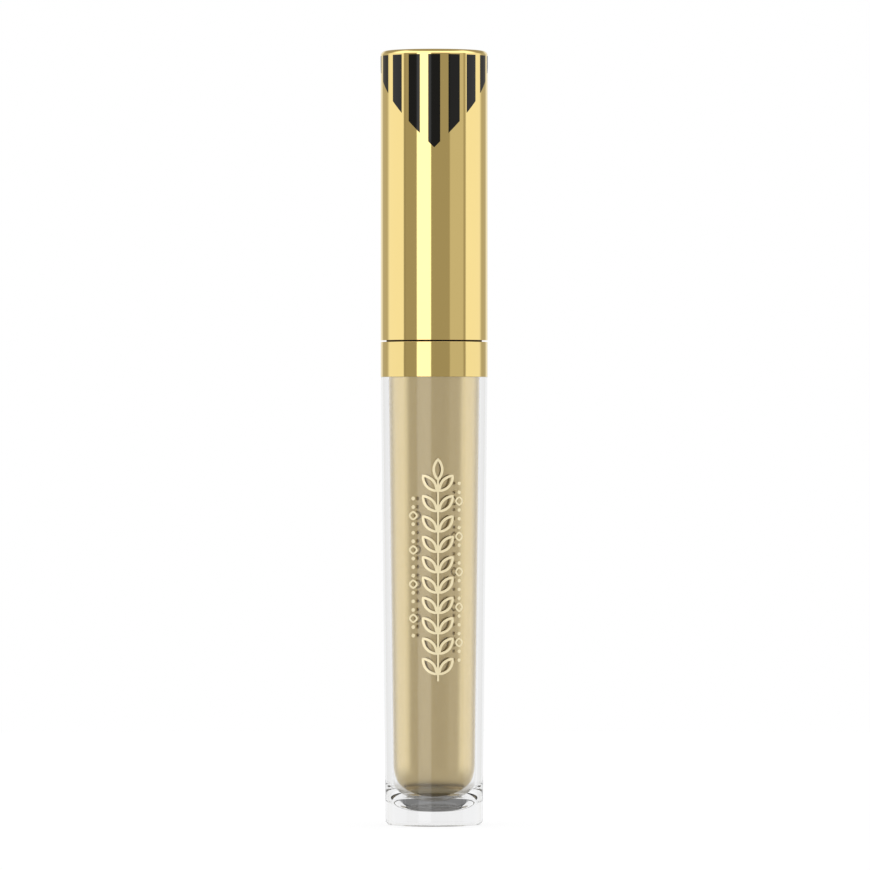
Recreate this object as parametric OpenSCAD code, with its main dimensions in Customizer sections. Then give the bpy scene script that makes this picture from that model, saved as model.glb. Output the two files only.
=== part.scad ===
// Mascara tube: a gold inner vial in a clear jacket, closed by a screw cap that carries the wand and brush.
// Millimetres, +Z up, origin at the centre of the foot. The tube stands closed.

/* [Outside] */
// Diameter of the cap and of the collar ring
barrel_d = 17; // [16.8:0.1:17.6]
// Height of the closed tube
total_h = 122.8; // [120:0.1:126]
// Length of the cap
cap_h = 46; // [45:0.5:48]
// Height of the collar ring between the cap and the clear jacket
collar_h = 5.55; // [5.4:0.05:6]
// Gap between the cap's rim and the collar
seam = 0.2; // [0.1:0.05:0.3]

/* [Clear jacket] */
// Diameter of the jacket at its foot
foot_d = 15.4; // [15.2:0.1:15.8]
// Wall of the jacket
jacket_wall = 1.13; // [1:0.01:1.2]
// Thickness of the jacket's base, under the closed end of its bore
base_t = 2.2; // [1.6:0.05:2.4]
// Radius of the edge round the closed end of the bore
bore_round = 5; // [4.6:0.1:5.4]
// Radius of the jacket's foot edge
foot_edge = 0.7; // [0.4:0.1:1]

/* [Vial and neck] */
// Air gap between the vial and the jacket's bore
vial_gap = 0.15; // [0.1:0.05:0.2]
// Wall of the vial
vial_wall = 0.9; // [0.7:0.1:1]
// Height of the vial's oval end
vial_end_h = 7; // [7:0.5:8.5]
// Air space under the vial's end
end_gap = 0.65; // [0.5:0.05:0.7]
// Diameter of the neck, under its thread
neck_d = 10; // [9.8:0.1:10.2]
// Bore of the neck
neck_bore_d = 8; // [7.8:0.1:8]
// Height of the neck above the collar
neck_h = 11.6; // [11.2:0.1:12]

/* [Thread] */
// Rise of the thread in one turn
thread_lead = 3; // [2.5:0.1:3.2]
// Number of turns
thread_turns = 1.5; // [1.25:0.25:1.5]
// Height of a ridge above its wall
thread_depth = 0.5; // [0.4:0.05:0.5]

/* [Cap] */
// Wall of the cap's outer shell
shell_wall = 0.9; // [0.8:0.1:1]
// Radius of the edge round the top of the cap
cap_edge = 0.75; // [0.5:0.05:1]
// Number of ribs that centre the inner cap in the shell
rib_count = 8; // [6:1:10]

/* [Wand] */
// Diameter of the wand's rod
rod_d = 3.9; // [3.6:0.1:3.9]
// Diameter of the hole in the wiper's lip
orifice_d = 4; // [4:0.05:4.2]
// Height of the brush's tip above the foot of the tube
tip_z = 9.2; // [9.1:0.1:9.7]
// Length of the bristled part of the brush
brush_l = 25; // [22:1:26]
// Widest diameter over the bristles
brush_d = 6.6; // [6:0.1:6.8]
// Rows of bristles along the brush
brush_rows = 22; // [18:1:24]
// Bristles in each row
row_bristles = 12; // [10:1:14]

/* [Hidden] */
$fn = 96;

// How far a cutter runs past the face that it cuts
eps = 0.1;

// Heights of the joints between the outside pieces
cap_z = total_h - cap_h;
collar_top = cap_z - seam;
jacket_top = collar_top - collar_h;
neck_top = collar_top + neck_h;

// Jacket
barrel_r = barrel_d / 2;
jacket_step = 0.05;
jacket_top_r = barrel_r - jacket_step;
foot_r = foot_d / 2;
bore_top_r = jacket_top_r - jacket_wall;
bore_low_r = foot_r - jacket_wall + 0.03;
gate_r = 3.6;
gate_depth = 0.12;

// Vial: a body with an oval end, a flange that rests on the jacket's rim, a sloping shoulder and a neck
vial_z = base_t + end_gap;
vial_low_r = bore_low_r - vial_gap;
vial_top_r = bore_top_r - vial_gap;
cavity_z = vial_z + vial_wall;
cavity_low_r = vial_low_r - vial_wall;
cavity_top_r = vial_top_r - vial_wall;
cavity_end_h = vial_end_h - vial_wall;
flange_r = 7.9;
flange_t = 1.1;
shoulder_z = jacket_top + flange_t;
neck_r = neck_d / 2;
neck_bore_r = neck_bore_d / 2;
neck_base_z = collar_top - 1.5;
bead_r = neck_r + 0.35;
bead_h = 0.6;
neck_lip = 0.3;

// Collar
collar_top_t = 1.2;
collar_wall = 1.1;
collar_fit = 0.05;
collar_edge = 0.08;

// Threads. The two crests pass each other with a small clearance.
ridge_base = 1.3;
ridge_crest = 0.6;
ridge_root = 0.25;
crest_gap = 0.1;
thread_z = collar_top + 3.2;
cap_bore_r = neck_r + 2 * thread_depth + crest_gap;
ridge_steps = 36;
run_out = 0.12;
run_in = 0.1;

// Wiper
wiper_wall = 0.55;
wiper_flange_r = 4.8;
wiper_flange_t = 0.6;
lip_z = neck_top - 10.6;
lip_cone_z = neck_top - 7.4;
orifice_r = orifice_d / 2;
lip_t = 0.4;

// Cap
shell_bore_r = barrel_r - shell_wall;
shell_top_t = 1.2;
rim_edge = 0.06;
liner_clear = 0.05;
skirt_z = collar_top + liner_clear;
skirt_r = shell_bore_r - 0.6;
skirt_foot_t = 1.2;
washer_z = neck_top + wiper_flange_t + 0.02;
washer_t = 0.78;
washer_r = 5.35;
washer_seat_r = washer_r + 0.1;
washer_bore_r = 2.35;
head_flange_z = washer_z + washer_t + 0.02;
head_flange_t = 0.8;
head_flange_r = 4.4;
web_z = head_flange_z + head_flange_t;
web_t = 1.4;
head_r = 2.6;
head_l = 12;
socket_r = 4;
socket_top_t = 1.2;
rib_t = 0.9;
rib_top_z = web_z + web_t + head_l - 1;
rib_reach = shell_bore_r - 0.02;

// Wand and brush
rod_r = rod_d / 2;
rod_edge = 0.4;
bristle_z = tip_z + 1.5;
core_collar_h = 0.8;
rod_end_z = bristle_z + brush_l + core_collar_h + 0.7;
tang_r = 1;
tang_l = 7;
core_low_r = 0.65;
core_top_r = 1.1;
core_collar_r = 1.6;
sleeve_t = 0.25;
bristle_t = 0.3;
brush_r = brush_d / 2;

// Colours
clear = [0.86, 0.89, 0.92, 0.35];
bright_gold = [0.86, 0.72, 0.42];
satin_gold = [0.72, 0.62, 0.42];
milky = [0.9, 0.9, 0.88];
black = [0.08, 0.08, 0.09];

// A solid of revolution with straight sides from r_low at z_low to r_top at z_top
module taper(z_low, z_top, r_low, r_top) {
    translate([0, 0, z_low]) cylinder(h = z_top - z_low, r1 = r_low, r2 = r_top);
}

// A straight post between two heights
module post(z_low, z_top, r) {
    taper(z_low, z_top, r, r);
}

// A post whose lower and upper edges are rounded; an edge of 0 is left square
module rounded_post(z_low, z_top, r_low, r_top, edge_low, edge_top) {
    rotate_extrude() {
        polygon([
            [0, z_low], [r_low - edge_low, z_low], [r_low - edge_low, z_low + edge_low],
            [r_low, z_low + edge_low], [r_top, z_top - edge_top], [r_top - edge_top, z_top - edge_top],
            [r_top - edge_top, z_top], [0, z_top]
        ]);
        if (edge_low > 0) translate([r_low - edge_low, z_low + edge_low]) circle(edge_low);
        if (edge_top > 0) translate([r_top - edge_top, z_top - edge_top]) circle(edge_top);
    }
}

// A tapered post whose lower edge is a quarter of an oval, edge_r broad and edge_h high
module round_ended(z_low, z_top, r_low, r_top, edge_r, edge_h) {
    flat = edge_r < r_low ? [[0, z_low]] : [];
    edge = [for (a = [0 : 360 / $fn : 90]) [r_low - edge_r * (1 - sin(a)), z_low + edge_h * (1 - cos(a))]];
    rotate_extrude() polygon(concat(flat, edge, [[r_top, z_top], [0, z_top]]));
}

// How far a ridge stands out at a share u of its length: it grows out of the wall and back into it
function ridge_height(u) = min(thread_depth, (thread_depth + run_in) * min(u, 1 - u) / run_out - run_in);

// The four corners of a ridge's section at a share u of its length; side is 1 for outward and -1 for inward
function ridge_section(u, wall_r, side) =
    let (
        turn = 360 * thread_turns * u,
        z = thread_lead * thread_turns * u,
        inner = wall_r - side * ridge_root,
        crest = wall_r + side * ridge_height(u)
    )
    [for (p = [
        [inner, -ridge_base / 2], [crest, -ridge_crest / 2],
        [crest, ridge_crest / 2], [inner, ridge_base / 2]
    ]) [p[0] * cos(turn), p[0] * sin(turn), z + p[1]]];

// A right-hand helical ridge on a wall of radius wall_r, starting at height 0
module ridge(wall_r, side) {
    rings = ceil(ridge_steps * thread_turns);
    points = [for (i = [0 : rings]) each ridge_section(i / rings, wall_r, side)];
    sides = [for (i = [0 : rings - 1], k = [0 : 3])
        let (a = 4 * i + k, b = 4 * i + (k + 1) % 4)
        each [[a, a + 4, b + 4], [a, b + 4, b]]];
    last = 4 * rings;
    ends = [[0, 1, 2], [0, 2, 3], [last + 2, last + 1, last], [last + 3, last + 2, last]];
    faces = concat(sides, ends);
    polyhedron(points, side < 0 ? faces : [for (f = faces) [f[2], f[1], f[0]]], convexity = 6);
}

module outer_jacket() {
    color(clear) difference() {
        rounded_post(0, jacket_top, foot_r, jacket_top_r, foot_edge, 0);
        round_ended(base_t, jacket_top + eps, bore_low_r, bore_top_r, bore_round, bore_round);
        // shallow dimple where the moulding gate was
        translate([0, 0, -eps]) cylinder(h = eps + gate_depth, r = gate_r);
    }
}

module inner_vial() {
    color(satin_gold) difference() {
        union() {
            round_ended(vial_z, jacket_top, vial_low_r, vial_top_r, vial_low_r, vial_end_h);
            post(jacket_top, shoulder_z, flange_r);
            taper(shoulder_z, neck_base_z, vial_top_r, neck_r);
            rounded_post(neck_base_z - 1, neck_top, neck_r, neck_r, 0, neck_lip);
            rounded_post(collar_top + 0.3, collar_top + 0.3 + bead_h, bead_r, bead_r, 0.2, 0.2);
            translate([0, 0, thread_z]) ridge(neck_r, 1);
        }
        round_ended(cavity_z, jacket_top - 1, cavity_low_r, cavity_top_r, cavity_low_r, cavity_end_h);
        taper(jacket_top - 1 - eps / 10, neck_base_z - 0.5, cavity_top_r, neck_bore_r);
        post(jacket_top, neck_top + eps, neck_bore_r);
    }
}

module shoulder_collar() {
    color(bright_gold) difference() {
        rounded_post(jacket_top, collar_top, barrel_r, barrel_r, collar_edge, collar_edge);
        post(jacket_top - eps, shoulder_z + collar_fit, flange_r + collar_fit);
        post(jacket_top, collar_top - collar_top_t, barrel_r - collar_wall);
        post(collar_top - collar_top_t - eps, collar_top + eps, neck_r + collar_fit);
    }
}

module wiper() {
    inner_r = neck_bore_r - wiper_wall;
    color(milky) rotate_extrude() polygon([
        [inner_r, neck_top + wiper_flange_t], [wiper_flange_r, neck_top + wiper_flange_t],
        [wiper_flange_r, neck_top], [neck_bore_r, neck_top], [neck_bore_r, lip_cone_z],
        [orifice_r + lip_t, lip_z], [orifice_r, lip_z], [orifice_r, lip_z + lip_t],
        [inner_r, lip_cone_z + lip_t]
    ]);
}

module cap_shell() {
    color(bright_gold) difference() {
        rounded_post(cap_z, total_h, barrel_r, barrel_r, rim_edge, cap_edge);
        post(cap_z - eps, total_h - shell_top_t, shell_bore_r);
    }
}

// A rib of the inner cap, from a radius inside its wall out to the shell's bore
module rib(from_r, z_low, z_top) {
    translate([from_r, -rib_t / 2, z_low]) cube([rib_reach - 0.02 - from_r, rib_t, z_top - z_low]);
}

module inner_cap() {
    socket_top = web_z + web_t + head_l;
    color(black) {
        difference() {
            union() {
                post(skirt_z, web_z + web_t, skirt_r);
                post(skirt_z, skirt_z + skirt_foot_t, rib_reach);
                post(web_z, socket_top, socket_r);
                for (i = [0 : rib_count - 1]) rotate(i * 360 / rib_count) {
                    rib(socket_r - 0.5, web_z, rib_top_z);
                    rib(skirt_r - 0.2, skirt_z, web_z + web_t);
                }
            }
            post(skirt_z - eps, neck_top - 1, cap_bore_r);
            post(neck_top - 1 - eps, web_z, washer_seat_r);
            post(web_z - eps, socket_top - socket_top_t, head_r);
        }
        // the thread is a ridge on the bore, half a pitch above the neck's
        translate([0, 0, thread_z + thread_lead / 2]) ridge(cap_bore_r, -1);
    }
}

module sealing_washer() {
    color(milky) difference() {
        post(washer_z, washer_z + washer_t, washer_r);
        post(washer_z - eps, washer_z + washer_t + eps, washer_bore_r);
    }
}

module wand_rod() {
    color(black) difference() {
        union() {
            rounded_post(rod_end_z, head_flange_z + eps, rod_r, rod_r, rod_edge, 0);
            post(head_flange_z, web_z, head_flange_r);
            rounded_post(web_z - eps, web_z + web_t + head_l - socket_top_t, head_r, head_r, 0, 0.3);
        }
        post(rod_end_z - eps, rod_end_z + tang_l, tang_r);
    }
}

// The core's taper under the bristle sleeve
module core_taper() {
    taper(bristle_z, bristle_z + brush_l, core_low_r, core_top_r);
}

module brush_core() {
    color(black) {
        core_taper();
        translate([0, 0, tip_z + core_low_r]) sphere(core_low_r);
        post(tip_z + core_low_r, bristle_z, core_low_r);
        post(bristle_z + brush_l, rod_end_z - core_collar_h, core_top_r);
        post(rod_end_z - core_collar_h, rod_end_z, core_collar_r);
        post(rod_end_z, rod_end_z + tang_l, tang_r);
    }
}

// Radius over the bristles at a share u of the brush's length from its tip: a barrel, narrower at the tip
function bristle_reach(u) = brush_r * (0.72 + 0.28 * sin(180 * min(1, 0.12 + 0.8 * u)));

// One row of bristles: a thin star with a pointed arm for each bristle
module bristle_row(reach, root_r) {
    linear_extrude(height = bristle_t, center = true) polygon([
        for (i = [0 : row_bristles - 1], k = [0 : 2])
            let (
                angle = (i + [-0.28, 0, 0.28][k]) * 360 / row_bristles,
                r = k == 1 ? reach : root_r
            )
            [r * cos(angle), r * sin(angle)]
    ]);
}

module brush_bristles() {
    pitch = brush_l / brush_rows;
    color(black) difference() {
        union() {
            taper(bristle_z, bristle_z + brush_l, core_low_r + sleeve_t, core_top_r + sleeve_t);
            for (i = [0 : brush_rows - 1])
                translate([0, 0, bristle_z + (i + 0.5) * pitch])
                    rotate(i % 2 * 180 / row_bristles)
                        bristle_row(bristle_reach((i + 0.5) / brush_rows), core_low_r + sleeve_t);
        }
        core_taper();
    }
}

outer_jacket();
inner_vial();
shoulder_collar();
wiper();
cap_shell();
inner_cap();
sealing_washer();
wand_rod();
brush_core();
brush_bristles();
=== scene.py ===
"""Looks of the mascara tube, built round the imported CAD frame. Metres, +Z up, the front faces -Y."""
import math
import random

import bmesh
import bpy
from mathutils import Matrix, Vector


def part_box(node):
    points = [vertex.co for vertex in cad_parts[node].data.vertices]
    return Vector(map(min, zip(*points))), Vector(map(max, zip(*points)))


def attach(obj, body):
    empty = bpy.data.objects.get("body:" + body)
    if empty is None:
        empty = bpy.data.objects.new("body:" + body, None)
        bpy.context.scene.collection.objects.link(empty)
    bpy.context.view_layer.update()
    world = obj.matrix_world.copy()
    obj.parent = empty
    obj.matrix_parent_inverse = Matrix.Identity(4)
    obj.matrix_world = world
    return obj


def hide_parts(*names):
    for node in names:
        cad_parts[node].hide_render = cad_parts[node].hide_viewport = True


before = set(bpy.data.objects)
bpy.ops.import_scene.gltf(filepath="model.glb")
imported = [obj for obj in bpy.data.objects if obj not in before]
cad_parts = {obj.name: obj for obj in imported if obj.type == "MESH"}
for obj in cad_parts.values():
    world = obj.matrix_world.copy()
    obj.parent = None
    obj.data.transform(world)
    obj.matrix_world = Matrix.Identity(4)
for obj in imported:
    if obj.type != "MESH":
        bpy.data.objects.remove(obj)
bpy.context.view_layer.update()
MM = 0.001

# ---------------------------------------------------------------- places, from the frame


def span(node):
    """A CAD node's lowest and highest Z, and its radius."""
    low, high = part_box(node)
    return low.z, high.z, high.x


FOOT_Z, JACKET_TOP, JACKET_TOP_R = span("outer_jacket")
VIAL_Z, NECK_TOP, FLANGE_R = span("inner_vial")
COLLAR_Z, COLLAR_TOP, BARREL_R = span("shoulder_collar")
CAP_Z, CAP_TOP, CAP_R = span("cap_shell")
BRISTLE_Z, BRISTLE_TOP, BRISTLE_R = span("brush_bristles")

# dimensions that a box can't give, as the CAD has them
FOOT_R = 7.7 * MM
FOOT_EDGE = 0.7 * MM
GATE_R, GATE_DEPTH, GATE_SLOPE = 3.6 * MM, 0.12 * MM, 0.1 * MM
# the radius of the grey patch painted on the foot's middle, a painted shadow for the contact shade seen
# through the clear base
FOOT_SHADOW_R = 4.4 * MM
BORE_TOP_R = JACKET_TOP_R - 1.13 * MM
BORE_LOW_R = FOOT_R - 1.10 * MM
BASE_T = 2.2 * MM
BORE_ROUND = 5.0 * MM

VIAL_LOW_R, VIAL_TOP_R = BORE_LOW_R - 0.15 * MM, BORE_TOP_R - 0.15 * MM
VIAL_WALL = 0.9 * MM
VIAL_END_H = 7.0 * MM
VIAL_SHOULDER_Z = JACKET_TOP + 1.1 * MM
CAVITY_TOP_Z = JACKET_TOP - 1.0 * MM
NECK_R, NECK_BORE_R = 5.0 * MM, 4.0 * MM
NECK_LOW_Z, NECK_BORE_LOW_Z = COLLAR_TOP - 1.5 * MM, COLLAR_TOP - 2.0 * MM
NECK_EDGE = 0.3 * MM
BEAD_Z, BEAD_R = COLLAR_TOP + 0.6 * MM, 0.3 * MM
THREAD_Z = COLLAR_TOP + 3.2 * MM
THREAD_LEAD, THREAD_TURNS, THREAD_DEPTH = 3.0 * MM, 1.5, 0.5 * MM
RIDGE_HALF_WIDTHS = (0.65 * MM, 0.40 * MM, 0.24 * MM)

COLLAR_WALL, COLLAR_TOP_T = 1.1 * MM, 1.2 * MM
COLLAR_HOLE_R, COLLAR_CHAMFER = 5.05 * MM, 0.1 * MM
COLLAR_INSIDE_R = FLANGE_R + 0.05 * MM
COLLAR_SHOULDER_Z = JACKET_TOP + 1.15 * MM
CAP_WALL, CAP_TOP_T = 0.9 * MM, 1.2 * MM
CAP_EDGE, CAP_INSIDE_EDGE = 0.75 * MM, 0.3 * MM
RIM_EDGE = 0.04 * MM
# the cap's rim is a hair higher here than in the CAD, so that the seam shows dark and wide
CAP_LOW_Z = CAP_Z + 0.06 * MM

SEGMENTS = 256
# a point nearer to the axis than this lies on it
ON_AXIS = 1e-9


# ---------------------------------------------------------------- mesh helpers


def link(name, bm, sharp_deg=30):
    """A finished bmesh as an object, smooth but for the edges that turn by more than sharp_deg."""
    bmesh.ops.recalc_face_normals(bm, faces=bm.faces)
    limit = math.radians(sharp_deg)
    for face in bm.faces:
        face.smooth = True
    for edge in bm.edges:
        if len(edge.link_faces) == 2 and edge.calc_face_angle(0) > limit:
            edge.smooth = False
    mesh = bpy.data.meshes.new(name)
    bm.to_mesh(mesh)
    bm.free()
    obj = bpy.data.objects.new(name, mesh)
    bpy.context.scene.collection.objects.link(obj)
    return obj


def walls(bm, rings):
    """Faces from each ring of vertices to the next. A ring may be a single vertex."""
    count = max(len(ring) for ring in rings)
    for here, there in zip(rings, rings[1:]):
        for i in range(count):
            j = (i + 1) % count
            corners = [ring[k % len(ring)] for ring, k in ((here, i), (here, j), (there, j), (there, i))]
            unique = list(dict.fromkeys(corners))
            if len(unique) > 2:
                bm.faces.new(unique)


def lids(bm, rings):
    """Faces over the first and the last ring."""
    bm.faces.new(rings[0][::-1])
    bm.faces.new(rings[-1])


def lathe_into(bm, profile):
    """Turns a closed profile of (r, z) round the Z axis. Points on the axis become one vertex each."""
    angles = [2 * math.pi / SEGMENTS * i for i in range(SEGMENTS)]
    rings = []
    for r, z in profile:
        if r < ON_AXIS:
            rings.append([bm.verts.new((0, 0, z))])
        else:
            rings.append([bm.verts.new((r * math.sin(a), -r * math.cos(a), z)) for a in angles])
    walls(bm, rings + rings[:1])


def lathe(name, profile):
    bm = bmesh.new()
    lathe_into(bm, profile)
    return link(name, bm)


def arc(r, z, radius, start, end, steps, tall=None):
    """Points on a circle about (r, z), or on an oval if tall is given; 0 degrees is outward and 90 up."""
    angles = [math.radians(start + (end - start) * i / steps) for i in range(steps + 1)]
    return [(r + radius * math.cos(a), z + (tall or radius) * math.sin(a)) for a in angles]


def rising(r_low, z_low, r_top, z_top, steps):
    """Points along a straight wall, without its two ends."""
    shares = [i / steps for i in range(1, steps)]
    return [(r_low + (r_top - r_low) * share, z_low + (z_top - z_low) * share) for share in shares]


# ---------------------------------------------------------------- material helpers


def material(name):
    """A new material, its node tree and its shader."""
    mat = bpy.data.materials.new(name)
    mat.use_nodes = True
    tree = mat.node_tree
    return mat, tree, tree.nodes["Principled BSDF"]


def node(tree, kind, **values):
    made = tree.nodes.new(kind)
    for key, value in values.items():
        setattr(made, key, value)
    return made


def put(tree, socket, value):
    """Sets a socket to a number, or links another socket to it."""
    if isinstance(value, (int, float)):
        socket.default_value = value
    else:
        tree.links.new(value, socket)


def math_node(tree, operation, *inputs):
    made = node(tree, "ShaderNodeMath", operation=operation)
    for socket, value in zip(made.inputs, inputs):
        put(tree, socket, value)
    return made.outputs[0]


def noise(tree, scale, detail=3.0, vector=None, rough=0.5):
    made = node(tree, "ShaderNodeTexNoise")
    made.inputs["Scale"].default_value = scale
    made.inputs["Detail"].default_value = detail
    made.inputs["Roughness"].default_value = rough
    if vector is None:
        vector = node(tree, "ShaderNodeTexCoord").outputs["Object"]
    tree.links.new(vector, made.inputs["Vector"])
    return made.outputs["Fac"]


def stretched(tree, sx, sy, sz):
    """Object coordinates scaled by axis, so that a texture runs along the tube or round it."""
    mapping = node(tree, "ShaderNodeMapping")
    mapping.inputs["Scale"].default_value = (sx, sy, sz)
    tree.links.new(node(tree, "ShaderNodeTexCoord").outputs["Object"], mapping.inputs["Vector"])
    return mapping.outputs["Vector"]


def remap(tree, value, low, high, from_low=0.0, from_high=1.0):
    """A value taken from one range to another and held inside it."""
    made = node(tree, "ShaderNodeMapRange")
    made.inputs["From Min"].default_value = from_low
    made.inputs["From Max"].default_value = from_high
    made.inputs["To Min"].default_value = low
    made.inputs["To Max"].default_value = high
    tree.links.new(value, made.inputs["Value"])
    return made.outputs["Result"]


def mixed_colour(tree, factor, first, second):
    made = node(tree, "ShaderNodeMix", data_type="RGBA")
    made.inputs["A"].default_value = (*first, 1)
    made.inputs["B"].default_value = (*second, 1)
    tree.links.new(factor, made.inputs["Factor"])
    return made.outputs["Result"]


def set_colour(tree, shader, factor, first, second):
    """Base colour that varies between two colours."""
    tree.links.new(mixed_colour(tree, factor, first, second), shader.inputs["Base Color"])


def set_roughness(tree, shader, factor, low, high, from_low=0.0, from_high=1.0):
    """Roughness that varies between two values."""
    tree.links.new(remap(tree, factor, low, high, from_low, from_high), shader.inputs["Roughness"])


def add_bump(tree, shader, height, strength, distance):
    bump = node(tree, "ShaderNodeBump")
    bump.inputs["Strength"].default_value = strength
    bump.inputs["Distance"].default_value = distance
    tree.links.new(height, bump.inputs["Height"])
    tree.links.new(bump.outputs["Normal"], shader.inputs["Normal"])


def mirror_gold(name, roughness, tone=1.0):
    """Vacuum-metallised gold: nearly a mirror, with faint wipe marks in its gloss."""
    mat, tree, shader = material(name)
    wipe = noise(tree, scale=60, detail=4, vector=stretched(tree, 3, 3, 0.6))
    golds = ((0.93, 0.725, 0.29), (0.97, 0.765, 0.32))
    set_colour(tree, shader, wipe, *[[channel * tone for channel in gold] for gold in golds])
    shader.inputs["Metallic"].default_value = 1.0
    set_roughness(tree, shader, wipe, roughness * 0.8, roughness * 1.3)
    add_bump(tree, shader, noise(tree, scale=900, detail=2), strength=0.02, distance=0.02 * MM)
    return mat


def satin_gold(name):
    """Sprayed gold paint: fine flakes and a satin gloss."""
    mat, tree, shader = material(name)
    flakes = noise(tree, scale=2600, detail=2)
    cloud = noise(tree, scale=90)
    tone = math_node(tree, "MULTIPLY", math_node(tree, "ADD", flakes, cloud), 0.5)
    set_colour(tree, shader, tone, (0.80, 0.648, 0.352), (0.86, 0.708, 0.398))
    shader.inputs["Metallic"].default_value = 1.0
    set_roughness(tree, shader, flakes, 0.20, 0.28)
    add_bump(tree, shader, flakes, strength=0.03, distance=0.02 * MM)
    return mat


def clear_plastic(name):
    """Clear polished plastic with a trace of haze."""
    mat, tree, shader = material(name)
    haze = noise(tree, scale=45, detail=2, vector=stretched(tree, 1, 1, 0.3))
    set_colour(tree, shader, haze, (0.985, 0.988, 0.992), (0.995, 0.997, 1.0))
    shader.inputs["Transmission Weight"].default_value = 1.0
    shader.inputs["IOR"].default_value = 1.49
    set_roughness(tree, shader, haze, 0.0, 0.012)
    return mat


MILKY = ((0.80, 0.80, 0.78), (0.88, 0.88, 0.86))
FOAM_WHITE = ((0.80, 0.80, 0.78), (0.90, 0.90, 0.88))
BLACK = ((0.004, 0.004, 0.004), (0.008, 0.008, 0.008))
# painted shade: the grey of the patch on the foot's middle, standing for the contact shadow seen through the
# clear base
FOOT_SHADOW_GREY = ((0.48, 0.48, 0.48), (0.52, 0.52, 0.52))


def moulded(name, dark, light, roughness, scale=400, bump=0.1, translucent=0.0, gloss=0.5):
    """Plain moulded plastic with a fine surface and a faint change of tone."""
    mat, tree, shader = material(name)
    set_colour(tree, shader, noise(tree, scale=scale / 4), dark, light)
    set_roughness(tree, shader, noise(tree, scale=scale), roughness * 0.8, roughness * 1.2)
    shader.inputs["Specular IOR Level"].default_value = gloss
    shader.inputs["Subsurface Weight"].default_value = translucent
    shader.inputs["Subsurface Scale"].default_value = 0.8 * MM
    add_bump(tree, shader, noise(tree, scale=scale * 4, detail=2), strength=bump, distance=0.03 * MM)
    return mat


def lacquer(name):
    """Glossy black print."""
    mat, tree, shader = material(name)
    cloud = noise(tree, scale=300)
    set_colour(tree, shader, cloud, (0.001, 0.001, 0.001), (0.002, 0.002, 0.002))
    set_roughness(tree, shader, cloud, 0.06, 0.10)
    shader.inputs["IOR"].default_value = 1.42
    add_bump(tree, shader, noise(tree, scale=2500, detail=2), strength=0.03, distance=0.01 * MM)
    return mat


def foil(name):
    """Pale gold ink with a pearly sheen."""
    mat, tree, shader = material(name)
    cloud = noise(tree, scale=700)
    set_colour(tree, shader, cloud, (0.88, 0.76, 0.47), (0.93, 0.82, 0.54))
    shader.inputs["Metallic"].default_value = 0.15
    set_roughness(tree, shader, cloud, 0.25, 0.35)
    add_bump(tree, shader, noise(tree, scale=3000, detail=2), strength=0.06, distance=0.02 * MM)
    return mat


def mascara_black(name, wet):
    """Black plastic under a film of mascara: lumpy and wet."""
    mat, tree, shader = material(name)
    lumps = noise(tree, scale=900, detail=5, rough=0.65)
    set_colour(tree, shader, lumps, (0.004, 0.004, 0.005), (0.016, 0.015, 0.016))
    set_roughness(tree, shader, lumps, 0.12, 0.5 - 0.2 * wet, from_low=0.3, from_high=0.7)
    add_bump(tree, shader, lumps, strength=0.35, distance=0.15 * MM)
    return mat


# ---------------------------------------------------------------- the clear jacket


def jacket():
    outer = [(0, FOOT_Z + GATE_DEPTH), (GATE_R - GATE_SLOPE, FOOT_Z + GATE_DEPTH)]
    outer += [(GATE_R, FOOT_Z + GATE_DEPTH / 2), (GATE_R + GATE_SLOPE, FOOT_Z), (FOOT_SHADOW_R, FOOT_Z)]
    outer += arc(FOOT_R - FOOT_EDGE, FOOT_Z + FOOT_EDGE, FOOT_EDGE, -90, 0, 12)
    outer += rising(FOOT_R, FOOT_Z + FOOT_EDGE, JACKET_TOP_R, JACKET_TOP, 24)
    outer += [(JACKET_TOP_R, JACKET_TOP), (BORE_TOP_R, JACKET_TOP)]
    inner = rising(BORE_TOP_R, JACKET_TOP, BORE_LOW_R, BASE_T + BORE_ROUND, 24)
    inner += arc(BORE_LOW_R - BORE_ROUND, BASE_T + BORE_ROUND, BORE_ROUND, 0, -90, 48) + [(0, BASE_T)]
    return lathe("jacket_clear", outer + inner)


def paint_foot_shadow(piece):
    """Gives the middle of the jacket's foot its own grey: a painted shadow that stands for the dark contact
    shade under the foot, seen through the clear base.
    """
    piece.data.materials.append(moulded("foot_painted_shadow_grey", *FOOT_SHADOW_GREY, 0.6))
    for face in piece.data.polygons:
        if face.center.z < FOOT_Z + 2 * GATE_DEPTH and face.center.xy.length < FOOT_SHADOW_R:
            face.material_index = 1


# ---------------------------------------------------------------- the vial


def thread_ridge(bm, steps_per_turn=96, sunk=0.1 * MM, root=0.25 * MM, ends=0.12):
    """A right-hand helical ridge on the neck, a closed solid that grows out of the wall at its ends."""
    steps = int(steps_per_turn * THREAD_TURNS)
    rings = []
    for i in range(steps + 1):
        u = i / steps
        grown = min(1.0, min(u, 1 - u) / ends)
        height = (THREAD_DEPTH + sunk) * grown - sunk
        turn = 2 * math.pi * THREAD_TURNS * u
        z = THREAD_Z + THREAD_LEAD * THREAD_TURNS * u
        flank = list(zip(RIDGE_HALF_WIDTHS, (-root, height * 0.6, height)))
        ring = []
        for along, out in [(-half, out) for half, out in flank] + flank[::-1]:
            r = NECK_R + out
            ring.append(bm.verts.new((r * math.cos(turn), r * math.sin(turn), z + along)))
        rings.append(ring)
    walls(bm, rings)
    lids(bm, rings)


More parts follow.
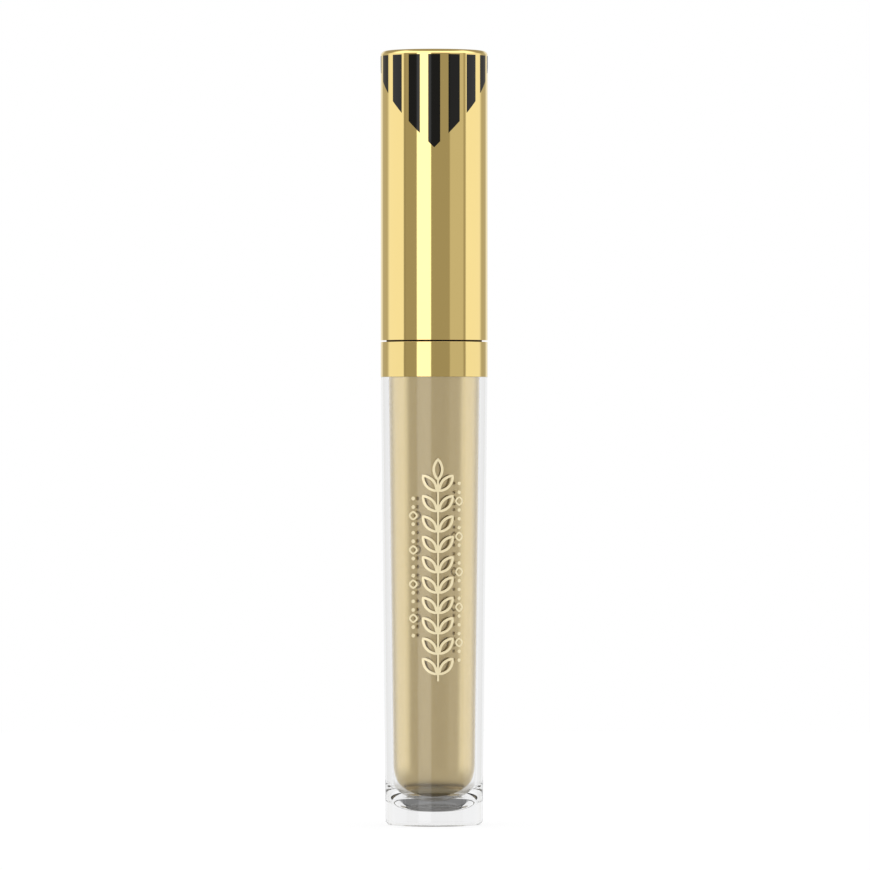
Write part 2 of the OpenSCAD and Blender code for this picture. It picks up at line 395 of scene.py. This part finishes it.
def vial_outside():
    round_z = VIAL_Z + VIAL_END_H
    points = [(0, VIAL_Z)] + arc(0, round_z, VIAL_LOW_R, -90, 0, 40, VIAL_END_H)[1:]
    points += rising(VIAL_LOW_R, round_z, VIAL_TOP_R, JACKET_TOP, 20)
    points += [(VIAL_TOP_R, JACKET_TOP), (FLANGE_R, JACKET_TOP), (FLANGE_R, VIAL_SHOULDER_Z)]
    points += [(VIAL_TOP_R, VIAL_SHOULDER_Z), (NECK_R, NECK_LOW_Z), (NECK_R, BEAD_Z - BEAD_R)]
    points += arc(NECK_R + 0.05 * MM, BEAD_Z, BEAD_R, -80, 80, 8) + [(NECK_R, BEAD_Z + BEAD_R)]
    return points + arc(NECK_R - NECK_EDGE, NECK_TOP - NECK_EDGE, NECK_EDGE, 0, 90, 6)


def vial_inside():
    round_z = VIAL_Z + VIAL_END_H
    low_r, top_r = VIAL_LOW_R - VIAL_WALL, VIAL_TOP_R - VIAL_WALL
    points = [(NECK_BORE_R, NECK_TOP), (NECK_BORE_R, NECK_BORE_LOW_Z), (top_r, CAVITY_TOP_Z)]
    points += rising(top_r, CAVITY_TOP_Z, low_r, round_z, 16)
    points += arc(0, round_z, low_r, 0, -90, 24, VIAL_END_H - VIAL_WALL)[:-1]
    return points + [(0, VIAL_Z + VIAL_WALL)]


def vial():
    bm = bmesh.new()
    lathe_into(bm, vial_outside() + vial_inside())
    thread_ridge(bm)
    return link("vial_body", bm)


# ---------------------------------------------------------------- collar and cap


def collar():
    low_z = COLLAR_TOP - COLLAR_TOP_T
    wide_r = BARREL_R - COLLAR_WALL
    profile = arc(BARREL_R - RIM_EDGE, COLLAR_Z + RIM_EDGE, RIM_EDGE, -90, 0, 6)
    profile += arc(BARREL_R - RIM_EDGE, COLLAR_TOP - RIM_EDGE, RIM_EDGE, 0, 90, 6)
    profile += [(COLLAR_HOLE_R + COLLAR_CHAMFER, COLLAR_TOP), (COLLAR_HOLE_R, COLLAR_TOP - COLLAR_CHAMFER)]
    profile += [(COLLAR_HOLE_R, low_z), (wide_r, low_z), (wide_r, COLLAR_SHOULDER_Z)]
    profile += [(COLLAR_INSIDE_R, COLLAR_SHOULDER_Z), (COLLAR_INSIDE_R, COLLAR_Z)]
    return lathe("collar_ring", profile)


def cap(top_rings=8):
    bore_r, bore_z = CAP_R - CAP_WALL, CAP_TOP - CAP_TOP_T
    edge_r, inside_r = CAP_R - CAP_EDGE, bore_r - CAP_INSIDE_EDGE
    profile = arc(CAP_R - RIM_EDGE, CAP_LOW_Z + RIM_EDGE, RIM_EDGE, -90, 0, 5)
    profile += arc(edge_r, CAP_TOP - CAP_EDGE, CAP_EDGE, 0, 90, 16)
    profile += rising(edge_r, CAP_TOP, 0, CAP_TOP, top_rings) + [(0, CAP_TOP), (0, bore_z)]
    profile += arc(inside_r, bore_z - CAP_INSIDE_EDGE, CAP_INSIDE_EDGE, 90, 0, 5)
    profile += [(bore_r, CAP_LOW_Z + 0.1 * MM), (bore_r + 0.08 * MM, CAP_LOW_Z)]
    return lathe("cap_outer", profile)


# ---------------------------------------------------------------- the stripes on the cap

STRIPES = 9
STRIPE_TOP_Z = CAP_TOP - 0.85 * MM
STRIPE_TIP_Z = CAP_TOP - 15.6 * MM
STRIPES_HALF_W = 13.9 * MM
STRIPE_GAP = 0.7
PRINT_T = 0.03 * MM
STRIPE_SUNK = 0.02 * MM


def on_cap(s, z, height):
    """The point at height over the cap's wall, s round it from the front and z up."""
    angle = s / CAP_R
    r = CAP_R + height
    return (r * math.sin(angle), -r * math.cos(angle), z)


def stripe(bm, left, right, rows=12, columns=12):
    """An upright printed stripe, a thin closed shell on the cap, whose lower end follows a V."""
    layers = []
    for height in (-STRIPE_SUNK, PRINT_T):
        grid = []
        for i in range(rows + 1):
            row = []
            for j in range(columns + 1):
                s = left + (right - left) * j / columns
                low = STRIPE_TIP_Z + abs(s)
                row.append(bm.verts.new(on_cap(s, low + (STRIPE_TOP_Z - low) * i / rows, height)))
            grid.append(row)
        layers.append(grid)
    low, high = layers
    for grid in layers:
        for i in range(rows):
            for j in range(columns):
                bm.faces.new((grid[i][j], grid[i][j + 1], grid[i + 1][j + 1], grid[i + 1][j]))
    rim = [(0, j) for j in range(columns)] + [(i, columns) for i in range(rows)]
    rim += [(rows, j) for j in range(columns, 0, -1)] + [(i, 0) for i in range(rows, 0, -1)]
    for (i, j), (k, m) in zip(rim, rim[1:] + rim[:1]):
        bm.faces.new((low[i][j], low[k][m], high[k][m], high[i][j]))


def stripes():
    bm = bmesh.new()
    width = 2 * STRIPES_HALF_W / (STRIPES + STRIPE_GAP * (STRIPES - 1))
    for i in range(STRIPES):
        left = -STRIPES_HALF_W + i * width * (1 + STRIPE_GAP)
        stripe(bm, left, left + width)
    return link("cap_stripes", bm, 40)


# ---------------------------------------------------------------- the foil ornament on the jacket

SPRIG_S, SPRIG_LOW, SPRIG_HIGH, LEAF_PAIRS = 0.6 * MM, 23.0 * MM, 58.0 * MM, 10
LEAF_L, LEAF_W, LEAF_LEAN, INK_LINE = 3.2 * MM, 1.35 * MM, 42, 0.40 * MM
# each line of beads: place round the jacket, lower end, upper end, count and size
BEAD_LINES = [(-3.4 * MM, 29.5 * MM, 52.5 * MM, 17, 1.2 * MM),
              (4.1 * MM, 25.6 * MM, 54.9 * MM, 21, 1.1 * MM)]


def on_jacket(s, z, height):
    """The point at height over the jacket's wall, s round it from the front and z up."""
    share = (z - FOOT_Z - FOOT_EDGE) / (JACKET_TOP - FOOT_Z - FOOT_EDGE)
    r = FOOT_R + (JACKET_TOP_R - FOOT_R) * share
    angle = s / r
    r += height
    return (r * math.sin(angle), -r * math.cos(angle), z)


def ribbon(bm, points, width, closed=False):
    """A flat stroke of one width along a line of points (s, z), as a thin closed shell on the jacket."""
    count = len(points)
    rings = []
    for i, (s, z) in enumerate(points):
        before = points[i - 1] if closed or i > 0 else points[i]
        after = points[(i + 1) % count] if closed or i < count - 1 else points[i]
        along = Vector((after[0] - before[0], after[1] - before[1])).normalized() * width / 2
        ring = []
        for side, height in ((-1, -PRINT_T), (1, -PRINT_T), (1, PRINT_T), (-1, PRINT_T)):
            ring.append(bm.verts.new(on_jacket(s - side * along.y, z + side * along.x, height)))
        rings.append(ring)
    if not closed:
        lids(bm, rings)
    walls(bm, rings + rings[:1] if closed else rings)


def leaf(bm, s, z, lean_deg, length, width, line, steps=14):
    """An almond-shaped outline that starts at (s, z) and points up, leaning by lean_deg."""
    lean = math.radians(lean_deg)
    outline = []
    for side in (1, -1):
        for i in range(steps):
            u = i / steps if side > 0 else 1 - i / steps
            across, along = side * width / 2 * math.sin(math.pi * u) ** 0.8, length * u
            away = along * math.sin(lean) + across * math.cos(lean)
            up = along * math.cos(lean) - across * math.sin(lean)
            outline.append((s + away, z + up))
    ribbon(bm, outline, line, closed=True)


def dot(bm, s, z, radius):
    """A small disc: a ring of ten corners so broad that its hole closes."""
    ribbon(bm, arc(s, z, radius / 2, 0, 324, 9), radius, closed=True)


def sprig(bm, steps=12):
    """A straight stem with pairs of leaves and a leaf at its top."""
    stem_l = SPRIG_HIGH - LEAF_L - SPRIG_LOW
    pitch = (SPRIG_HIGH - SPRIG_LOW - LEAF_L * 0.9) / LEAF_PAIRS
    ribbon(bm, [(SPRIG_S, SPRIG_LOW + stem_l * i / steps) for i in range(steps + 1)], INK_LINE * 0.8)
    for i in range(LEAF_PAIRS):
        z = SPRIG_LOW + (i + 0.35) * pitch
        for side in (-1, 1):
            leaf(bm, SPRIG_S + side * INK_LINE * 0.6, z, side * LEAF_LEAN, LEAF_L, LEAF_W, INK_LINE)
    leaf(bm, SPRIG_S, SPRIG_HIGH - LEAF_L, 0, LEAF_L, LEAF_W, INK_LINE)


def beads(bm, s, low, high, count, size):
    """A line of small dots, every fourth one an upright leaf."""
    gap = (high - low) / count
    for i in range(count):
        z = low + (i + 0.5) * gap
        if i % 4 == 2:
            leaf(bm, s, z - gap * 0.45, 0, gap * 0.9, size, size * 0.24)
        else:
            dot(bm, s, z, size * 0.26)


def ornament():
    bm = bmesh.new()
    sprig(bm)
    for line in BEAD_LINES:
        beads(bm, *line)
    return link("foil_ornament", bm, 40)


# ---------------------------------------------------------------- the brush

UP = Vector((0, 0, 1))
BRISTLE_ROWS, BRISTLES_IN_ROW = 44, 12
# how far a bristle strays round the core, in radians, and its tip up or down, in mm
STRAY_ANGLE, STRAY_TIP = 0.03, 0.12
# the ranges of its share of the full reach, and of its radius in mm
REACH_SHARE, BRISTLE_RADIUS = (0.93, 0.985), (0.13, 0.17)
DROPLET_CHANCE = 0.22
FILM_END = 0.1 * MM


def ring_of(bm, centre, normal, side, radius, corners):
    """A ring of points round a centre, across a normal."""
    other = normal.cross(side)
    angles = [2 * math.pi / corners * i for i in range(corners)]
    return [bm.verts.new(centre + (side * math.cos(a) + other * math.sin(a)) * radius) for a in angles]


def bristle(bm, base, out, lean, length, radius, droplet, corners=7, steps=6):
    """One moulded bristle: a curved cone with a pointed tip, or with a droplet of mascara on it."""
    side = out.cross(UP).normalized()
    rings = []
    for i in range(steps + 1):
        u = i / steps
        centre = base + out * length * u + UP * lean * u * u
        size = radius * (1 - 0.68 * u)
        if droplet and u > 0.7:
            size = radius * (0.55 + 0.75 * math.sin(math.pi * (u - 0.7) / 0.3 * 0.75))
        rings.append(ring_of(bm, centre, out, side, size, corners))
    tip = bm.verts.new(base + out * (length + radius * 0.3) + UP * lean)
    walls(bm, rings + [[tip]])
    bm.faces.new(rings[0][::-1])


def brush_profile(u):
    """Radius over the bristles at a share u of the brush's length from its tip."""
    return BRISTLE_R * (0.72 + 0.28 * math.sin(math.pi * min(1, 0.12 + 0.8 * u)))


def film(bm, steps=160, corners=72):
    """The lumpy film of mascara between the bristles' roots, blunt at the brush's tip."""
    rings = []
    for i in range(steps + 1):
        u = i / steps
        z = BRISTLE_Z + FILM_END + (BRISTLE_TOP - BRISTLE_Z - 2 * FILM_END) * u
        blunt = 0.72 + 0.28 * math.sin(math.pi / 2 * min(1, u * 8))
        ring = []
        for k in range(corners):
            angle = 2 * math.pi * k / corners
            lump = 0.5 + 0.25 * math.sin(3 * angle + 41 * u) + 0.25 * math.sin(5 * angle - 67 * u + 1.3)
            r = (0.78 + 0.46 * u + 0.34 * lump) * MM * blunt
            ring.append(bm.verts.new((r * math.cos(angle), r * math.sin(angle), z)))
        rings.append(ring)
    walls(bm, rings)
    lids(bm, rings)


def bristles():
    """Rows of bristles round the core, every other row half a step on, and the film on their roots."""
    rng = random.Random(4)
    bm = bmesh.new()
    for row in range(BRISTLE_ROWS):
        u = (row + 0.5) / BRISTLE_ROWS
        centre = Vector((0, 0, BRISTLE_Z + (BRISTLE_TOP - BRISTLE_Z) * u))
        root = (0.62 + 0.45 * u) * MM
        for k in range(BRISTLES_IN_ROW):
            angle = 2 * math.pi * (k + 0.5 * (row % 2)) / BRISTLES_IN_ROW
            angle += rng.uniform(-STRAY_ANGLE, STRAY_ANGLE)
            out = Vector((math.cos(angle), math.sin(angle), 0))
            reach = (brush_profile(u) - root) * rng.uniform(*REACH_SHARE)
            lean = rng.uniform(-STRAY_TIP, STRAY_TIP) * MM
            radius = rng.uniform(*BRISTLE_RADIUS) * MM
            droplet = rng.random() < DROPLET_CHANCE
            bristle(bm, out * root + centre, out, lean, reach, radius, droplet)
    film(bm)
    return link("bristles_coated", bm, 60)


# ---------------------------------------------------------------- pieces

clear_jacket = jacket()
gold_cap = mirror_gold("cap_gold_mirror", 0.05)
gold_collar = mirror_gold("collar_gold_mirror", 0.06, tone=0.965)

# piece, body, material slot, the CAD node that it stands for, material
PIECES = [
    (clear_jacket, "bottle", "clear_jacket", "outer_jacket", clear_plastic("jacket_clear_plastic")),
    (vial(), "bottle", "vial_gold", "inner_vial", satin_gold("vial_satin_gold")),
    (collar(), "bottle", "collar_gold", "shoulder_collar", gold_collar),
    (cap(), "wand", "cap_gold", "cap_shell", gold_cap),
    (stripes(), "wand", "rod_plastic", None, lacquer("stripe_black_lacquer")),
    (ornament(), "bottle", "collar_gold", None, foil("ornament_foil")),
    (bristles(), "wand", "bristle_elastomer", "brush_bristles", mascara_black("bristles_wet_black", 1.0)),
]
for piece, body, slot, stands_for, mat in PIECES:
    piece.data.materials.append(mat)
    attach(piece, body)
    if stands_for:
        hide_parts(stands_for)
# the middle of the foot gets a grey painted shadow
paint_foot_shadow(clear_jacket)

# the CAD nodes that show as they are
CAD_LOOKS = {
    "wiper": moulded("wiper_milky", *MILKY, 0.42, translucent=0.35),
    "inner_cap": moulded("liner_black", *BLACK, 0.5, gloss=0.15),
    "sealing_washer": moulded("washer_foam_white", *FOAM_WHITE, 0.75, scale=1500, bump=0.4),
    "wand_rod": mascara_black("rod_black", 0.4),
    "brush_core": mascara_black("core_black", 1.0),
}
for name, mat in CAD_LOOKS.items():
    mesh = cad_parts[name].data
    mesh.materials.clear()
    mesh.materials.append(mat)

# ---------------------------------------------------------------- stage, camera and light

FLOOR_R = 0.4
# the camera looks level along +Y from far off, through a long lens
CAMERA_PLACE = (0.13 * MM, -1.27, 61.84 * MM)
LENS_MM, SENSOR_MM = 331.0, 36.0
MOST_REFLECTIONS, MOST_CROSSINGS = 24, 48


def disc(name, radius, z, grey, glow):
    """A matt disc of the stage that gives some light of its own and doesn't show in mirrors."""
    bm = bmesh.new()
    bmesh.ops.create_circle(bm, cap_ends=True, segments=96, radius=radius)
    bmesh.ops.translate(bm, verts=bm.verts, vec=(0, 0, z))
    made = link(name, bm)
    mat, tree, shader = material(name + "_paper")
    shader.inputs["Base Color"].default_value = (grey, grey, grey, 1)
    shader.inputs["Roughness"].default_value = 0.9
    shader.inputs["Specular IOR Level"].default_value = 0.0
    shader.inputs["Emission Color"].default_value = (1, 1, 1, 1)
    shader.inputs["Emission Strength"].default_value = glow
    made.data.materials.append(mat)
    made.visible_glossy = False
    return made


# a floor that shows as white as the room
floor = disc("floor", FLOOR_R, FOOT_Z - 0.06 * MM, grey=0.15, glow=0.87)
floor.visible_transmission = False
# the dark spot under the foot that no light reaches; it shows only through the clear base
foot_shade = disc("foot_shade", FOOT_R - 0.3 * FOOT_EDGE, FOOT_Z - 0.04 * MM, grey=0.0, glow=0.2)
foot_shade.visible_camera = False
foot_shade.visible_diffuse = False
foot_shade.visible_shadow = False

scene = bpy.context.scene
scene.view_settings.view_transform = "Standard"
scene.cycles.glossy_bounces = MOST_REFLECTIONS
scene.cycles.transmission_bounces = MOST_CROSSINGS
scene.cycles.max_bounces = MOST_CROSSINGS

camera_data = bpy.data.cameras.new("camera")
camera_data.lens = LENS_MM
camera_data.sensor_width = SENSOR_MM
camera_data.clip_start = 0.05
camera_data.clip_end = 50.0
camera = bpy.data.objects.new("camera", camera_data)
camera.location = CAMERA_PLACE
camera.rotation_euler = (math.radians(90), 0, 0)
scene.collection.objects.link(camera)
scene.camera = camera


def strips(tree, azimuth, bands):
    """Light level by azimuth. A band is (end azimuth, level, softness of its end), in degrees."""
    turn = math_node(tree, "DIVIDE", math_node(tree, "ADD", azimuth, math.pi), 2 * math.pi)
    total = bands[0][1]
    for (end, level, soft), (_, after, _) in zip(bands, bands[1:]):
        centre, half = (end + 180) / 360, soft / 720
        step = remap(tree, turn, 0.0, 1.0, centre - half, centre + half)
        total = math_node(tree, "ADD", math_node(tree, "MULTIPLY", step, after - level), total)
    return total


# Studio light by azimuth, seen from the tube: 0 is towards the camera, and negative is on the camera's left.
MIRROR_BANDS = [(-148, 0.9, 8), (-117, 0.48, 10), (-69, 0.99, 2.5), (-64, 0.33, 2.5), (-37.5, 0.375, 2.5),
                (-7, 1.65, 2.5), (34, 0.365, 2.5), (66, 0.59, 2.5), (72, 0.39, 2.5), (119.5, 0.99, 10),
                (148, 0.48, 8), (180, 0.9, 8)]
THROUGH_BANDS = [(-131, 0.88, 8), (-117, 0.58, 16), (-69, 1.06, 8), (-37.5, 0.52, 8), (-7, 0.60, 8),
                 (34, 0.49, 8), (70, 0.56, 8), (117, 1.06, 16), (131, 0.58, 8), (180, 0.88, 8)]
MIRROR_TOP_LIGHT, MIRROR_CEILING, MIRROR_LOW = 1.5, 0.36, 0.5
THROUGH_CEILING, THROUGH_MID, THROUGH_LOW, THROUGH_BOUNCED = 0.30, 0.53, 0.25, 0.33
CLEAR_BANDS = [(-131, 0.88, 8), (-100, 0.97, 16), (100, 0.9, 16), (131, 0.97, 16), (180, 0.88, 8)]
CLEAR_LOW = 0.8
ROOM = 1.0
WARM = (1.03, 0.965, 0.83)
# the elevations, in degrees, between which one light gives way to the one above it
MIRROR_STRIPS_START, MIRROR_TOP_START, MIRROR_CEILING_START = (-30, -12), (15, 23), (55, 62)
THROUGH_MID_START, THROUGH_STRIPS_START, THROUGH_CEILING_START = (-70, -36), (-26, -5), (35, 55)
CLEAR_STRIPS_START = (-60, -20)
# light with more bounces than this was reflected inside the jacket
PLAIN_BOUNCES = 6.5
# light with fewer crossings of the jacket's surfaces than this hasn't met the vial
VIAL_CROSSINGS = 3.0


def choose(tree, factor, when_no, when_yes):
    made = node(tree, "ShaderNodeMix", data_type="FLOAT")
    for key, value in (("Factor", factor), ("A", when_no), ("B", when_yes)):
        put(tree, made.inputs[key], value)
    return made.outputs["Result"]


def above(tree, height, start):
    """0 below the first elevation of start and 1 above the second; height is the sine of the elevation."""
    low, high = [math.sin(math.radians(angle)) for angle in start]
    return remap(tree, height, 0.0, 1.0, low, high)


def mirror_light(tree, azimuth, toward, height):
    """What the mirrors show: a low light, upright strips, a light over the front, and a ceiling."""
    upright = strips(tree, azimuth, MIRROR_BANDS)
    level = choose(tree, above(tree, height, MIRROR_STRIPS_START), MIRROR_LOW, upright)
    in_front = remap(tree, toward, 0.0, 1.0, -0.4, -0.1)
    top = choose(tree, in_front, MIRROR_CEILING, MIRROR_TOP_LIGHT)
    level = choose(tree, above(tree, height, MIRROR_TOP_START), level, top)
    return choose(tree, above(tree, height, MIRROR_CEILING_START), level, MIRROR_CEILING)


def through_light(tree, azimuth, height, rays):
    """What shows through the jacket: light on the vial, and what lies behind the clear plastic."""
    low = choose(tree, above(tree, height, THROUGH_MID_START), THROUGH_LOW, THROUGH_MID)
    upright = strips(tree, azimuth, THROUGH_BANDS)
    level = choose(tree, above(tree, height, THROUGH_STRIPS_START), low, upright)
    level = choose(tree, above(tree, height, THROUGH_CEILING_START), level, THROUGH_CEILING)
    bounced = math_node(tree, "GREATER_THAN", rays["Ray Depth"], PLAIN_BOUNCES)
    level = choose(tree, bounced, level, THROUGH_BOUNCED)
    crossed_only = math_node(tree, "LESS_THAN", rays["Transmission Depth"], VIAL_CROSSINGS)
    upright = strips(tree, azimuth, CLEAR_BANDS)
    clear = choose(tree, above(tree, height, CLEAR_STRIPS_START), CLEAR_LOW, upright)
    return choose(tree, crossed_only, level, clear)


def studio():
    world = bpy.data.worlds.new("studio")
    scene.world = world
    world.use_nodes = True
    tree = world.node_tree
    tree.nodes.clear()
    split = node(tree, "ShaderNodeSeparateXYZ")
    tree.links.new(node(tree, "ShaderNodeTexCoord").outputs["Generated"], split.inputs[0])
    toward = math_node(tree, "MULTIPLY", split.outputs["Y"], -1.0)
    azimuth = math_node(tree, "ARCTAN2", split.outputs["X"], toward)
    height = split.outputs["Z"]
    rays = node(tree, "ShaderNodeLightPath").outputs
    level = choose(tree, rays["Is Glossy Ray"], ROOM, mirror_light(tree, azimuth, toward, height))
    level = choose(tree, rays["Is Transmission Ray"], level, through_light(tree, azimuth, height, rays))
    level = choose(tree, rays["Is Camera Ray"], level, ROOM)
    # the mirrors' dark stretches are warm
    dark = remap(tree, level, 1.0, 0.0, 0.4, 0.8)
    warmth = math_node(tree, "MULTIPLY", dark, rays["Is Glossy Ray"])
    background = node(tree, "ShaderNodeBackground")
    tree.links.new(mixed_colour(tree, warmth, (1, 1, 1), WARM), background.inputs["Color"])
    tree.links.new(level, background.inputs["Strength"])
    output = node(tree, "ShaderNodeOutputWorld")
    tree.links.new(background.outputs[0], output.inputs["Surface"])
    world.cycles.sampling_method = "NONE"


studio()
